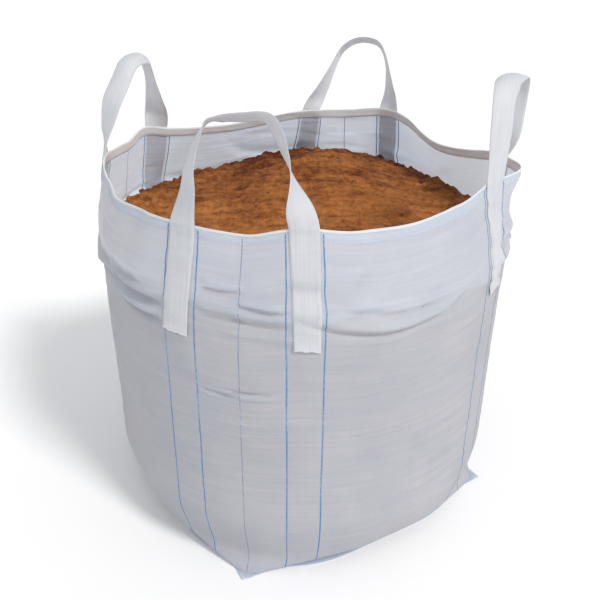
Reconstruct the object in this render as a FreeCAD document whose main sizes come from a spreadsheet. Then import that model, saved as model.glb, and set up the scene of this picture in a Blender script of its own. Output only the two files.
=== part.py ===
"""Bulk bag (builder's bag): a sewn sack of woven polypropylene, filled with sand, with a lift loop
over each corner.

Row frame: origin on the floor under the middle of the bag, +Z up, +X to the right and -Y to the front.
Every sewn layer is a stretch of a shell that follows the bag's outline at its own distance from the
outer face, so the layers lie on one another however the bag's size is set.
"""
import FreeCAD, Part
import Sketcher
import math
import os

doc = FreeCAD.newDocument("bulk_bag")

# ---- driving dimensions: millimetres and degrees -------------------------------------------------------
SIZES = [
    # the filled bag's outline: girth of each level, and how much of each face stays flat there
    ("base_girth", 3280, "round the base seam"),
    ("foot_girth", 3400, "round the swell just above the floor"),
    ("tube_girth", 3600, "the woven tube, four flat widths of 900"),
    ("rim_girth", 3340, "round the hem, which the loops draw in"),
    ("base_flat", 726, "flat part of a side of the base seam"),
    ("foot_flat", 96, "flat part of a face at the foot"),
    ("belly_flat", 36, "flat part where the sand presses most"),
    ("shoulder_flat", 67, "flat part where the sand ends"),
    ("rim_flat", 317, "flat part of the hem"),
    ("foot_height", 62, "foot level above the floor"),
    ("low_belly_height", 205, "where the belly begins"),
    ("high_belly_drop", 562, "where the belly ends, below the rim"),
    ("shoulder_drop", 256, "shoulder level below the rim"),
    ("bag_height", 1022, "floor to rim"),
    # cloth and thread
    ("fabric_thickness", 2, "woven wall and base"),
    ("sewn_gap", 0.3, "room that the thread leaves between sewn layers"),
    ("thread_thickness", 0.8, "sewing and marker thread"),
    ("thread_width", 4, "a row of stitching or a marker stripe"),
    ("hem_width", 25, "folded hem inside the rim"),
    ("hem_thickness", 2, "the fold"),
    ("seam_width", 30, "seam allowance inside the base"),
    ("ear_depth", 20, "square corner of the base cloth, in from the middle of the corner's arc"),
    # straps: band centre is measured from the middle of the face
    ("band_centre", 270, "middle of a lift strap"),
    ("strap_width", 72, "lift webbing"),
    ("marker_gap", 7, "strap edge to the blue marker on either side"),
    ("strap_thickness", 2.5, "lift webbing"),
    ("leg_length", 272, "sewn length below the rim"),
    ("row_inset", 10, "strap edge to its row of stitching"),
    ("hinge_height", 25, "rim to the line that a loop swings about"),
    ("hinge_gap", 3, "swing line to the sewn leg below it"),
    # each loop's height above its swing line and its lean away from the bag's middle
    ("loop_height_front_left", 210, "swing line to the top of the arch"),
    ("loop_height_front_right", 226, "swing line to the top of the arch"),
    ("loop_height_rear_right", 250, "swing line to the top of the arch"),
    ("loop_height_rear_left", 224, "swing line to the top of the arch"),
    ("lean_front_left", -6, "degrees"),
    ("lean_front_right", 6, "degrees"),
    ("lean_rear_right", 18, "degrees"),
    ("lean_rear_left", -6, "degrees"),
    # the load
    ("fill_gap", 1, "sand to the innermost cloth"),
    ("sand_drop", 192, "sand at the wall, below the rim"),
    ("heap_rise", 90, "top of the heap above the sand at the wall"),
]

sheet = doc.addObject("Spreadsheet::Sheet", "sizes")
for row, (alias, value, note) in enumerate(SIZES, start=1):
    sheet.set("A%d" % row, alias)
    sheet.set("B%d" % row, str(value))
    sheet.set("C%d" % row, note)
    sheet.setAlias("B%d" % row, alias)
doc.recompute()


def size(alias):
    return float(getattr(sheet, alias))


# corners in order round the bag, each with its two faces and the signs of its X and Y
CORNERS = [
    ("front_left", -1, -1),
    ("front_right", 1, -1),
    ("rear_right", 1, 1),
    ("rear_left", -1, 1),
]
FACES = ["on_front_or_rear", "on_side"]


# ---- outline of the bag --------------------------------------------------------------------------------
def corner_radius(girth, flat):
    """Corner radius of a rounded square of this girth with this much flat on each side."""
    return "((%s - 4 * %s) / (2 * pi))" % (girth, flat)


def half_width(girth, flat):
    """Half its width across the flats."""
    return "(%s / 2 + %s)" % (flat, corner_radius(girth, flat))


# each level of the bag: name, girth, flat part of a side, height
LEVELS = [
    ("base", "sizes.base_girth", "sizes.base_flat", "0"),
    ("foot", "sizes.foot_girth", "sizes.foot_flat", "sizes.foot_height"),
    ("low_belly", "sizes.tube_girth", "sizes.belly_flat", "sizes.low_belly_height"),
    ("high_belly", "sizes.tube_girth", "sizes.belly_flat",
     "sizes.bag_height - sizes.high_belly_drop"),
    ("shoulder", "sizes.tube_girth", "sizes.shoulder_flat", "sizes.bag_height - sizes.shoulder_drop"),
    ("rim", "sizes.rim_girth", "sizes.rim_flat", "sizes.bag_height"),
    ("above_rim", "sizes.rim_girth", "sizes.rim_flat", "sizes.bag_height + sizes.hem_width"),
]


def rounded_square(name, half, radius, height):
    """A sketch of a square with round corners about the Z axis, all three sizes bound to expressions."""
    sketch = doc.addObject("Sketcher::SketchObject", name)
    reach, bend = 100.0, 30.0
    flat = reach - bend
    up = FreeCAD.Vector(0, 0, 1)
    for quarter in range(4):
        turn = FreeCAD.Rotation(up, 90 * quarter)
        start = turn.multVec(FreeCAD.Vector(-flat, -reach, 0))
        end = turn.multVec(FreeCAD.Vector(flat, -reach, 0))
        sketch.addGeometry(Part.LineSegment(start, end))
        circle = Part.Circle(turn.multVec(FreeCAD.Vector(flat, -flat, 0)), up, bend)
        first = math.radians(90 * quarter - 90)
        sketch.addGeometry(Part.ArcOfCircle(circle, first, first + math.pi / 2))
    for quarter in range(4):
        line, arc, next_line = 2 * quarter, 2 * quarter + 1, (2 * quarter + 2) % 8
        sketch.addConstraint(Sketcher.Constraint("Tangent", line, 2, arc, 1))
        sketch.addConstraint(Sketcher.Constraint("Tangent", arc, 2, next_line, 1))
        sketch.addConstraint(Sketcher.Constraint("Vertical" if quarter % 2 else "Horizontal", line))
        if quarter:
            sketch.addConstraint(Sketcher.Constraint("Equal", 1, arc))
    sides = [("DistanceY", 0, 1, -1, 1), ("DistanceX", -1, 1, 2, 1),
             ("DistanceY", -1, 1, 4, 1), ("DistanceX", 6, 1, -1, 1)]
    for number, (kind, *ends) in enumerate(sides):
        index = sketch.addConstraint(Sketcher.Constraint(kind, *ends, reach))
        sketch.renameConstraint(index, "half_%d" % number)
        sketch.setExpression("Constraints.half_%d" % number, half)
    index = sketch.addConstraint(Sketcher.Constraint("Radius", 1, bend))
    sketch.renameConstraint(index, "corner")
    sketch.setExpression("Constraints.corner", radius)
    sketch.setExpression("Placement.Base.z", height)
    return sketch


def skin(name, inset):
    """The solid inside the bag's outline, moved in by the inset expression.

    It runs on past the rim, so that a region trims each layer to its real height.
    """
    sections = []
    for level, girth, flat, height in LEVELS:
        half = "%s - (%s)" % (half_width(girth, flat), inset)
        radius = "%s - (%s)" % (corner_radius(girth, flat), inset)
        sections.append(rounded_square("%s_%s" % (name, level), half, radius, height))
    loft = doc.addObject("Part::Loft", name)
    loft.Sections = sections
    loft.Solid = True
    loft.Ruled = False
    return loft


def cut(name, base, tool):
    result = doc.addObject("Part::Cut", name)
    result.Base = base
    result.Tool = tool
    return result


def common(name, base, tool):
    result = doc.addObject("Part::Common", name)
    result.Base = base
    result.Tool = tool
    return result


def layer(name, face, back, region):
    """What lies in the region between two skins: face is the outer of the two, back the inner."""
    return cut(name, common(name + "_block", face, region), back)


def group(name, pieces):
    result = doc.addObject("Part::Compound", name)
    result.Links = pieces
    return result


def box(name, x, y, z, length, width, height):
    """A box with its lowest corner at x, y, z: every value an expression."""
    block = doc.addObject("Part::Box", name)
    for prop, value in (("Length", length), ("Width", width), ("Height", height),
                        ("Placement.Base.x", x), ("Placement.Base.y", y), ("Placement.Base.z", z)):
        block.setExpression(prop, value)
    return block


REACH = "sizes.tube_girth"          # the bag is under a third as wide, so these boxes cut right through


def slab(name, bottom, top):
    """A box wider than the bag between two heights."""
    return box(name, "-%s / 2" % REACH, "-%s / 2" % REACH, bottom, REACH, REACH,
               "%s - (%s)" % (top, bottom))


def face_strip(name, x_sign, y_sign, face, offset, width, bottom, top):
    """A box that holds a vertical strip of one face near one corner.

    offset is from the middle of the face to the strip's middle, towards the corner.
    """
    along = x_sign if face == 0 else y_sign
    across = y_sign if face == 0 else x_sign
    low_along = "%d * (%s) - (%s) / 2" % (along, offset, width)
    low_across = "0" if across > 0 else "-%s" % REACH
    height = "%s - (%s)" % (top, bottom)
    if face == 0:
        return box(name, low_along, low_across, bottom, width, REACH, height)
    return box(name, low_across, low_along, bottom, REACH, width, height)


# ---- the layers, each a shell between two skins --------------------------------------------------------
OUTER = "0"
INNER = "sizes.fabric_thickness"
ON_WALL = "-sizes.sewn_gap"
STRAP_FACE = ON_WALL + " - sizes.strap_thickness"
HEM_BACK = INNER + " + sizes.sewn_gap"
HEM_FACE = HEM_BACK + " + sizes.hem_thickness"

wall_outer = skin("wall_outer", OUTER)
wall_inner = skin("wall_inner", INNER)
strap_back = skin("strap_back", ON_WALL)
strap_face = skin("strap_face", STRAP_FACE)
thread_face = skin("thread_face", ON_WALL + " - sizes.thread_thickness")
row_back = skin("row_back", STRAP_FACE + " - sizes.sewn_gap")
row_face = skin("row_face", STRAP_FACE + " - sizes.sewn_gap - sizes.thread_thickness")
hem_back = skin("hem_back", HEM_BACK)
hem_face = skin("hem_face", HEM_FACE)
hem_row_back = skin("hem_row_back", HEM_FACE + " + sizes.sewn_gap")
hem_row_face = skin("hem_row_face", HEM_FACE + " + sizes.sewn_gap + sizes.thread_thickness")
seam_inner = skin("seam_inner", HEM_BACK + " + sizes.seam_width")
chain_inset = HEM_BACK + " + (sizes.seam_width - sizes.thread_width) / 2"
chain_outer = skin("chain_outer", chain_inset)
chain_inner = skin("chain_inner", chain_inset + " + sizes.thread_width")
load_skin = skin("load_skin", INNER + " + sizes.fill_gap")

nodes = {}                          # node name: the document object that holds its shape


# ---- wall and hem --------------------------------------------------------------------------------------
wall_slab = slab("wall_slab", "sizes.fabric_thickness", "sizes.bag_height")
nodes["body_fabric"] = layer("body_fabric", wall_outer, wall_inner, wall_slab)

hem_slab = slab("hem_slab", "sizes.bag_height - sizes.hem_width", "sizes.bag_height")
nodes["top_hem"] = layer("top_hem", hem_back, hem_face, hem_slab)

hem_row_bottom = "sizes.bag_height - (sizes.hem_width + sizes.thread_width) / 2"
hem_row_slab = slab("hem_row_slab", hem_row_bottom, hem_row_bottom + " + sizes.thread_width")
nodes["hem_stitching"] = layer("hem_stitching", hem_row_back, hem_row_face, hem_row_slab)


# ---- base ----------------------------------------------------------------------------------------------
BASE_HALF = half_width("sizes.base_girth", "sizes.base_flat")
BASE_RADIUS = corner_radius("sizes.base_girth", "sizes.base_flat")


def plate(name, inset, bottom, thickness):
    """A flat sheet with the outline of the base, moved in by inset."""
    outline = rounded_square(name + "_outline", "%s - (%s)" % (BASE_HALF, inset),
                             "%s - (%s)" % (BASE_RADIUS, inset), bottom)
    sheet_of_cloth = doc.addObject("Part::Extrusion", name)
    sheet_of_cloth.Base = outline
    sheet_of_cloth.DirMode = "Normal"
    sheet_of_cloth.Solid = True
    sheet_of_cloth.setExpression("LengthFwd", thickness)
    return sheet_of_cloth


# the base cloth reaches under the wall's lower edge
PANEL_EDGE = "-sizes.fabric_thickness"
nodes["base_panel"] = plate("base_panel", PANEL_EDGE, "0", "sizes.fabric_thickness")

# the wall's lower edge is turned in over the base and chain stitched to it
seam_bottom = "sizes.fabric_thickness + sizes.sewn_gap"
seam_slab = slab("seam_slab", seam_bottom, seam_bottom + " + sizes.fabric_thickness")
nodes["base_seam_allowance"] = layer("base_seam_allowance", hem_back, seam_inner, seam_slab)

row_bottom = seam_bottom + " + sizes.fabric_thickness + sizes.sewn_gap"
chain_slab = slab("chain_slab", row_bottom, row_bottom + " + sizes.thread_thickness")
nodes["base_seam_stitching"] = layer("base_seam_stitching", chain_outer, chain_inner, chain_slab)

# the base cloth is cut square, so its corners stand out past the round corners of the seam
ear_boxes = []
ear_reach = "(%s + sizes.fabric_thickness)" % BASE_HALF
ear_size = "((1 - sqrt(1 / 2)) * (%s + sizes.fabric_thickness) + sizes.ear_depth)" % BASE_RADIUS
for corner, x_sign, y_sign in CORNERS:
    low_x = "%s - %s" % (ear_reach, ear_size) if x_sign > 0 else "-" + ear_reach
    low_y = "%s - %s" % (ear_reach, ear_size) if y_sign > 0 else "-" + ear_reach
    ear_boxes.append(box("ear_box_" + corner, low_x, low_y, "0", ear_size, ear_size,
                         "sizes.fabric_thickness"))
ear_cutter = plate("ear_cutter", PANEL_EDGE + " - sizes.sewn_gap", "0", "sizes.fabric_thickness")
nodes["base_corner_ears"] = cut("base_corner_ears", group("ear_boxes", ear_boxes), ear_cutter)


# ---- marker stripes woven into the wall ----------------------------------------------------------------
MARKER_OFF_CENTRE = "sizes.strap_width / 2 + sizes.marker_gap + sizes.thread_width / 2"
stripe_boxes = []
for corner, x_sign, y_sign in CORNERS:
    for face, face_name in enumerate(FACES):
        for side, sign in (("inner", "-"), ("outer", "+")):
            offset = "sizes.band_centre %s (%s)" % (sign, MARKER_OFF_CENTRE)
            stripe_boxes.append(face_strip("stripe_%s_%s_%s" % (corner, face_name, side), x_sign, y_sign,
                                           face, offset, "sizes.thread_width", "sizes.fabric_thickness",
                                           "sizes.bag_height"))
nodes["marker_stripes"] = layer("marker_stripes", thread_face, strap_back,
                                group("stripe_boxes", stripe_boxes))

# one thin stripe down each corner: two blades on the diagonals reach all four
blades = []
for name, turn in (("blade_a", 45), ("blade_b", -45)):
    blade = box(name,
                "-%s / 2 * cos(%d deg) + sizes.thread_width / 2 * sin(%d deg)" % (REACH, turn, turn),
                "-%s / 2 * sin(%d deg) - sizes.thread_width / 2 * cos(%d deg)" % (REACH, turn, turn),
                "sizes.fabric_thickness", REACH, "sizes.thread_width",
                "sizes.bag_height - sizes.fabric_thickness")
    blade.Placement.Rotation = FreeCAD.Rotation(FreeCAD.Vector(0, 0, 1), turn)
    blades.append(blade)
nodes["corner_stripes"] = layer("corner_stripes", thread_face, strap_back, group("blades", blades))


# ---- lift straps ---------------------------------------------------------------------------------------
def rim_reach(along, inset):
    """Distance from the middle plane to the rim's outline, at a place along the face."""
    radius = (size("rim_girth") - 4 * size("rim_flat")) / (2 * math.pi) - inset
    half_flat = size("rim_flat") / 2
    if along <= half_flat:
        return half_flat + radius
    return half_flat + math.sqrt(radius ** 2 - (along - half_flat) ** 2)


strap_middle = -(size("sewn_gap") + size("strap_thickness") / 2)
leg_along = size("band_centre")
leg_out = rim_reach(leg_along, strap_middle)
swing_middle = (leg_along + leg_out) / 2                  # X and Y of the middle of a swing line
half_chord = (leg_out - leg_along) / math.sqrt(2)         # swing line's middle to the strap's middle
swing_height = size("bag_height") + size("hinge_height")


def strap_section(centre, across, normal, width, thickness, sag=0.0):
    """A wire round a strap: across runs along the width, normal through the thickness."""
    lower, upper = (centre + normal * (side * thickness) for side in (-0.5, 0.5))
    half = across * (width / 2)
    edges = []
    for face in (lower, upper):
        if sag:
            edges.append(Part.Arc(face - half, face + normal * sag, face + half).toShape())
        else:
            edges.append(Part.LineSegment(face - half, face + half).toShape())
    edges.insert(1, Part.LineSegment(lower + half, upper + half).toShape())
    edges.append(Part.LineSegment(lower - half, upper - half).toShape())
    return Part.Wire(edges)


TURN_START = 0.15                   # share of the free height that the strap rises before it turns
TUCKED_SHARE = 0.9                  # its lowest section lies inside the sewn leg, a little smaller


def leg_top(x_sign, y_sign, face):
    """The strap above the rim: it leaves the wall's curve and turns flat to the swing line."""
    def place(along, out, height):
        if face == 0:
            return FreeCAD.Vector(x_sign * along, y_sign * out, height)
        return FreeCAD.Vector(x_sign * out, y_sign * along, height)

    width = size("strap_width")
    ends = [rim_reach(leg_along + side * width / 2, strap_middle) for side in (-1, 1)]
    rim_slope = math.atan2(ends[0] - ends[1], width)
    sag = leg_out - sum(ends) / 2
    bottom = size("bag_height") - size("strap_thickness")
    top = swing_height - size("hinge_gap")
    sections = []
    for rise in (0.0, TURN_START, 0.4, 0.7, 1.0):
        twist = max(rise - TURN_START, 0.0) / (1 - TURN_START)
        slope = rim_slope + (math.pi / 4 - rim_slope) * twist
        across = place(math.cos(slope), -math.sin(slope), 0)
        normal = place(math.sin(slope), math.cos(slope), 0)
        bow = sag * (1 - twist)
        centre = place(leg_along, leg_out, bottom + rise * (top - bottom)) - normal * bow
        share = TUCKED_SHARE if rise == 0.0 else 1.0
        sections.append(strap_section(centre + normal * (bow * (1 - share ** 2)), across, normal,
                                      width * share, size("strap_thickness") * share,
                                      bow * share ** 2))
    return Part.makeLoft(sections, True, True)


def face_name_of(corner, face):
    """front_left on face 0 is the front, on face 1 the left."""
    return corner.split("_")[face]


BARS_AT_EACH_END = 3                # short rows of stitching across a leg


def rows_on_leg(corner, x_sign, y_sign, face):
    """Boxes for one leg's sewing: a long row beside each edge and short rows across both ends."""
    name = "%s_%s" % (corner, face_name_of(corner, face))
    bottom = "sizes.bag_height - sizes.leg_length + sizes.row_inset"
    top = "sizes.bag_height - sizes.row_inset"
    boxes = []
    for side, sign in (("inner", "-"), ("outer", "+")):
        offset = "sizes.band_centre %s (sizes.strap_width / 2 - sizes.row_inset)" % sign
        boxes.append(face_strip("row_%s_%s" % (name, side), x_sign, y_sign, face, offset,
                                "sizes.thread_width", bottom, top))
    short = "sizes.strap_width - 2 * sizes.row_inset - 2 * sizes.thread_width"
    for number in range(BARS_AT_EACH_END):
        for end, start in (("low", bottom + " + %d * sizes.row_inset" % number),
                           ("high", top + " - sizes.thread_width - %d * sizes.row_inset" % number)):
            boxes.append(face_strip("bar_%s_%s_%d" % (name, end, number), x_sign, y_sign, face,
                                    "sizes.band_centre", short, start,
                                    start + " + sizes.thread_width"))
    return boxes


for corner, x_sign, y_sign in CORNERS:
    rows = []
    for face in range(2):
        name = "sewn_leg_%s_%s_face" % (corner, face_name_of(corner, face))
        strip = face_strip(name + "_strip", x_sign, y_sign, face, "sizes.band_centre",
                           "sizes.strap_width", "sizes.bag_height - sizes.leg_length",
                           "sizes.bag_height")
        sewn = layer(name + "_sewn", strap_face, strap_back, strip)
        free = doc.addObject("Part::Feature", name + "_free")
        free.Shape = leg_top(x_sign, y_sign, face)
        leg = doc.addObject("Part::Fuse", name)
        leg.Base = sewn
        leg.Tool = free
        nodes[name] = leg
        rows += rows_on_leg(corner, x_sign, y_sign, face)
    node = "leg_stitching_" + corner
    nodes[node] = layer(node, row_face, row_back, group(node + "_rows", rows))


# ---- lift loops: they swing about the line between their two sewn legs ---------------------------------
ARCH_STEPS = 16                     # sections along an arch, foot to foot


def loop_ribbon(height):
    """The arch in its own axes: X along the swing line, -Y away from the bag's middle, Z up.

    The webbing faces outwards at both feet and turns a quarter turn, to lie flat on a hook at the top.
    """
    sections = []
    for step in range(ARCH_STEPS + 1):
        angle = math.pi * step / ARCH_STEPS
        centre = FreeCAD.Vector(half_chord * math.cos(angle), 0, height * math.sin(angle))
        along = FreeCAD.Vector(-half_chord * math.sin(angle), 0, height * math.cos(angle)).normalize()
        arch_out = FreeCAD.Vector(along.z, 0, -along.x)
        twist = math.pi / 2 * abs(math.cos(angle))
        face = arch_out * math.cos(twist) + FreeCAD.Vector(0, -math.sin(twist), 0)
        sections.append(strap_section(centre, along.cross(face), face, size("strap_width"),
                                      size("strap_thickness")))
    return Part.makeLoft(sections, True, False)


for (corner, x_sign, y_sign), quarter in zip(CORNERS, (-45, 45, 135, 225)):
    node = "lift_loop_" + corner
    loop = doc.addObject("Part::Feature", node)
    loop.Shape = loop_ribbon(size("loop_height_" + corner))
    turn = FreeCAD.Rotation(FreeCAD.Vector(0, 0, 1), quarter)
    lean = FreeCAD.Rotation(FreeCAD.Vector(1, 0, 0), size("lean_" + corner))
    middle = FreeCAD.Vector(x_sign * swing_middle, y_sign * swing_middle, swing_height)
    loop.Placement = FreeCAD.Placement(middle, turn.multiply(lean))
    nodes[node] = loop


# ---- the load: sand heaped in the middle ---------------------------------------------------------------
load_bottom = row_bottom + " + sizes.thread_thickness + sizes.fill_gap"
load_slab = slab("load_slab", load_bottom, "sizes.bag_height")
load_prism = common("load_prism", load_skin, load_slab)
heap = doc.addObject("Part::Sphere", "heap")
heap_radius = "(((sizes.tube_girth / 2 / pi) ^ 2 + sizes.heap_rise ^ 2) / 2 / sizes.heap_rise)"
heap.setExpression("Radius", heap_radius)
heap.setExpression("Placement.Base.z",
                   "sizes.bag_height - sizes.sand_drop + sizes.heap_rise - " + heap_radius)
nodes["sand_fill"] = common("sand_fill", load_prism, heap)


# ---- checks and export ---------------------------------------------------------------------------------
doc.recompute()

for thing in doc.Objects:
    failed = {"Invalid", "Error"} & set(thing.State)
    if failed:
        raise RuntimeError("%s is %s" % (thing.Label, ", ".join(sorted(failed))))

os.makedirs("parts", exist_ok=True)
for node, thing in nodes.items():
    thing.Label = node
    shape = thing.Shape
    if shape.isNull() or not shape.isValid() or not shape.Solids or shape.Volume <= 0:
        raise RuntimeError("%s has no sound solid" % node)
    shape.exportStep("parts/%s.step" % node)
    print("%-36s %3d solids %14.1f mm3" % (node, len(shape.Solids), shape.Volume))

print("swing lines: middle +-%.2f, height %.2f, half chord %.2f mm"
      % (swing_middle, swing_height, half_chord))
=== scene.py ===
"""Looks of the bulk bag: woven wall, folded hem, marker yarns, base, webbing loops, stitching and sand.

Lengths are in metres in the row frame. cloth() gives any place on the wall, and every sewn piece is laid
on the wall through it, so hem, yarns, legs, stitches and sand all follow the same folds.
"""
import math

import bpy
import numpy as np
from mathutils import Matrix, Vector


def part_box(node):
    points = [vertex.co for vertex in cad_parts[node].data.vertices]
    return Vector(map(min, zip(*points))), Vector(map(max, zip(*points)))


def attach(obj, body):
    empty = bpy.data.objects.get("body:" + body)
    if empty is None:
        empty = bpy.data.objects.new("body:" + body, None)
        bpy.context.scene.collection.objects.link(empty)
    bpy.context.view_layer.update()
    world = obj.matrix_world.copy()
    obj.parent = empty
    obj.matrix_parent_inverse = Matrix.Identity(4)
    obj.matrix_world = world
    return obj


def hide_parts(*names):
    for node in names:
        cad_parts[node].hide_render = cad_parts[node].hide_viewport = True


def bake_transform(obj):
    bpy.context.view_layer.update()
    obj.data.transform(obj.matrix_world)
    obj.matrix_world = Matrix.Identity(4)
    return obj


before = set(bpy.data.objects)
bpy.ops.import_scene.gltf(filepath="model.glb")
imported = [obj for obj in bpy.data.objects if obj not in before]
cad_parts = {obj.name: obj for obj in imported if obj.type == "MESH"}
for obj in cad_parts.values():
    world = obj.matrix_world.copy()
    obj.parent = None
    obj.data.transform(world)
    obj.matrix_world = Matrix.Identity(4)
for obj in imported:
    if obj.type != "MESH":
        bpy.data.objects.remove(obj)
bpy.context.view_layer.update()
scene = bpy.context.scene

# ---- camera --------------------------------------------------------------------------------------------
# A standing person's view, a little above the rim, of the corner where the front and left faces meet.
EYE = Vector((-1.008, -1.728, 1.6405))
HEADING, DOWN_TILT, ROLL = math.radians(30.08), math.radians(28.21), math.radians(0.53)
LENS = 44.28                   # millimetres, on the usual 36 mm sensor

camera = bpy.data.objects.new("camera", bpy.data.cameras.new("camera"))
camera.data.lens = LENS
camera.matrix_world = (Matrix.Translation(EYE) @ Matrix.Rotation(-HEADING, 4, "Z")
                       @ Matrix.Rotation(math.pi / 2 - DOWN_TILT, 4, "X") @ Matrix.Rotation(ROLL, 4, "Z"))
scene.collection.objects.link(camera)
scene.camera = camera
scene.view_settings.view_transform = "Standard"


# ---- woven wall ----------------------------------------------------------------------------------------
# The seamless tube of white polypropylene cloth, woven from flat 3 mm tapes. Full of sand it swells to
# nearly round, stays square at the sewn base, and hangs slack in a skirt above the sand.
RIM_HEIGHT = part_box("body_fabric")[1].z
TUBE_GIRTH = 3.6
FACE = TUBE_GIRTH / 4
CLOTH = 0.002
BAND_FROM_CORNER = 0.158       # corner yarn to the middle of a lift strap, along the cloth
# height, girth and corner radius of each level, as the load shapes it
LEVEL_HEIGHTS = [0.0, 0.062, 0.205, 0.460, RIM_HEIGHT - 0.256, RIM_HEIGHT]
LEVEL_GIRTHS = [3.28, 3.40, 3.60, 3.60, 3.60, 3.34]
LEVEL_RADII = [0.06, 0.48, 0.55, 0.55, 0.53, 0.33]
# the slack skirt's rim: metres round the cloth from the front left corner yarn, and how far the rim lies
# out from the level outline there, up from its mean height, and along towards the next corner
RIM_SHAPE = [
    (0.000, -0.034, -0.024, 0.000), (0.158, -0.008, 0.004, 0.000), (0.300, 0.010, -0.010, 0.000),
    (0.450, 0.026, -0.016, 0.000), (0.600, 0.010, -0.004, 0.000), (0.742, -0.006, 0.026, 0.000),
    (0.900, -0.004, 0.020, 0.000), (1.058, 0.006, 0.012, 0.000), (1.350, -0.012, -0.038, 0.000),
    (1.642, 0.026, 0.012, 0.000), (1.800, -0.012, 0.002, 0.000), (1.958, -0.034, 0.000, -0.030),
    (2.250, -0.016, -0.026, -0.008), (2.498, -0.034, 0.002, 0.000), (2.586, -0.002, 0.014, 0.000),
    (2.700, -0.016, -0.002, 0.000), (2.858, 0.012, 0.000, 0.000), (3.000, 0.026, -0.020, 0.000),
    (3.150, 0.040, -0.026, 0.000), (3.300, 0.020, -0.020, 0.000), (3.442, 0.000, -0.012, 0.000),
]
SKIRT_START = 0.70             # where the sand no longer presses, as a share of the height
# the rim flips outwards just beside the front right loop: place, half width and distance
FLARE_PLACE, FLARE_HALF, FLARE_OUT = 0.915, 0.090, 0.030
FLARE_START = 0.90             # share of the height
RIM_UNEVEN = 0.002


def smooth(xs, ys, x):
    """A curve through the points that never swings past them (monotone cubic)."""
    xs, ys = np.asarray(xs, float), np.asarray(ys, float)
    run = np.diff(xs)
    rise = np.diff(ys) / run
    slope = np.zeros(len(xs))
    same = rise[:-1] * rise[1:] > 0
    slope[1:-1][same] = 2 * rise[:-1][same] * rise[1:][same] / (rise[:-1] + rise[1:])[same]
    slope[0], slope[-1] = rise[0], rise[-1]
    i = np.clip(np.searchsorted(xs, x) - 1, 0, len(run) - 1)
    t = (x - xs[i]) / run[i]
    return (ys[i] * (1 + 2 * t) * (1 - t) ** 2 + ys[i + 1] * t * t * (3 - 2 * t)
            + run[i] * (slope[i] * t * (1 - t) ** 2 - slope[i + 1] * t * t * (1 - t)))


def step(low, high, x):
    """0 below low, 1 above high, smooth between."""
    t = np.clip((x - low) / (high - low), 0, 1)
    return t * t * (3 - 2 * t)


def bell(x, width):
    return np.exp(-(x / width) ** 2)


def drift(around, up, across, high, seed):
    """Smooth random values from -1 to 1 over the cloth: across cells round it, high cells per metre."""
    table = np.random.RandomState(seed).uniform(-1, 1, (across, 257))
    a = (around % 1.0) * across
    b = np.asarray(up) * high + 40.0
    ia, ib = np.floor(a).astype(int), np.floor(b).astype(int)
    ta, tb = a - ia, b - ib
    ta, tb = ta * ta * (3 - 2 * ta), tb * tb * (3 - 2 * tb)
    low = table[ia % across, ib % 257] * (1 - ta) + table[(ia + 1) % across, ib % 257] * ta
    top = table[ia % across, (ib + 1) % 257] * (1 - ta) + table[(ia + 1) % across, (ib + 1) % 257] * ta
    return low * (1 - tb) + top * tb


def face_place(around):
    """Which face (0 front, 1 right, 2 rear, 3 left) and how far from its middle, along the cloth."""
    face = np.floor((around % 1.0) * 4).astype(int) % 4
    return face, ((around % 1.0) * 4 - face - 0.5) * FACE


def outline(around, height):
    """Plan position and outward direction on the smooth bag, before any fold."""
    girth = smooth(LEVEL_HEIGHTS, LEVEL_GIRTHS, height)
    radius = smooth(LEVEL_HEIGHTS, LEVEL_RADII, height)
    half = (girth + (8 - 2 * math.pi) * radius) / 8
    flat = half - radius
    face, place = face_place(around)
    place = place * girth / TUBE_GIRTH
    bend = np.clip((np.abs(place) - flat) / radius, 0, math.pi / 4)
    straight = np.abs(place) <= flat
    x = np.where(straight, place, np.sign(place) * (flat + radius * np.sin(bend)))
    y = np.where(straight, -half, -(flat + radius * np.cos(bend)))
    out_x, out_y = np.sign(place) * np.sin(bend), -np.cos(bend)
    turn = face * math.pi / 2
    c, s = np.cos(turn), np.sin(turn)
    return x * c - y * s, x * s + y * c, out_x * c - out_y * s, out_x * s + out_y * c


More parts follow.
